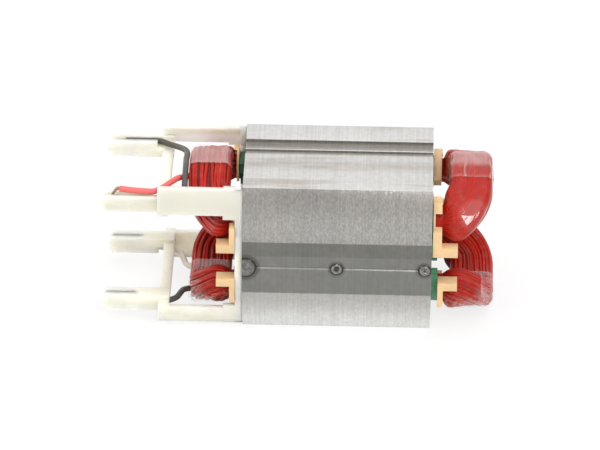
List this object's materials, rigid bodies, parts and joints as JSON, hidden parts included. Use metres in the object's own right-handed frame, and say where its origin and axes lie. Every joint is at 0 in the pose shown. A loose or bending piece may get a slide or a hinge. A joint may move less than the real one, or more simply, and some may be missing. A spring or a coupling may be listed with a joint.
{
  "type": "power tool field coil",
  "caption": "Laminated steel stator of a power tool motor with red enamelled saddle coils, green slot liners, tan end blocks and an ivory terminal frame with posts.",
  "frame": {"origin": "on the armature axis, half way along the lamination stack", "axes": "+X along the armature axis, away from the terminal posts; +Z along the pole axis, up from the flat that it lies on; the front of the picture is -Y"},
  "size_m": [0.1311, 0.0574, 0.053],
  "materials": {
    "lamination_steel": "bare sheet edges, satin",
    "weld_metal": "fused, glossy",
    "liner_paper": "satin insulation paper",
    "enamelled_wire": "glossy wire enamel under varnish",
    "block_plastic": "satin",
    "clear_tape": "clear, milky over the wires",
    "frame_nylon": "natural nylon, slightly translucent",
    "red_sleeve": "satin",
    "pale_sleeve": "satin",
    "black_sleeve": "satin",
    "contact_brass": "bright"
  },
  "bodies": {
    "root": {"stator_core": "lamination_steel", "side_welds": "weld_metal", "liner_upper_front": "liner_paper", "liner_upper_back": "liner_paper", "liner_lower_front": "liner_paper", "liner_lower_back": "liner_paper", "upper_coil": "enamelled_wire", "lower_coil": "enamelled_wire", "block_left_upper_front": "block_plastic", "block_left_upper_back": "block_plastic", "block_left_lower_front": "block_plastic", "block_left_lower_back": "block_plastic", "block_right_upper_front": "block_plastic", "block_right_upper_back": "block_plastic", "block_right_lower_front": "block_plastic", "block_right_lower_back": "block_plastic", "tape_left_upper": "clear_tape", "tape_left_lower": "clear_tape", "tape_right_upper": "clear_tape", "tape_right_lower": "clear_tape", "terminal_frame": "frame_nylon", "lead_upper_front": "red_sleeve", "lead_upper_back": "black_sleeve", "lead_lower_front": "black_sleeve", "lead_lower_back": "pale_sleeve", "contact_upper_front": "contact_brass", "contact_upper_back": "contact_brass", "contact_lower_front": "contact_brass", "contact_lower_back": "contact_brass"}
  },
  "joints": []
}
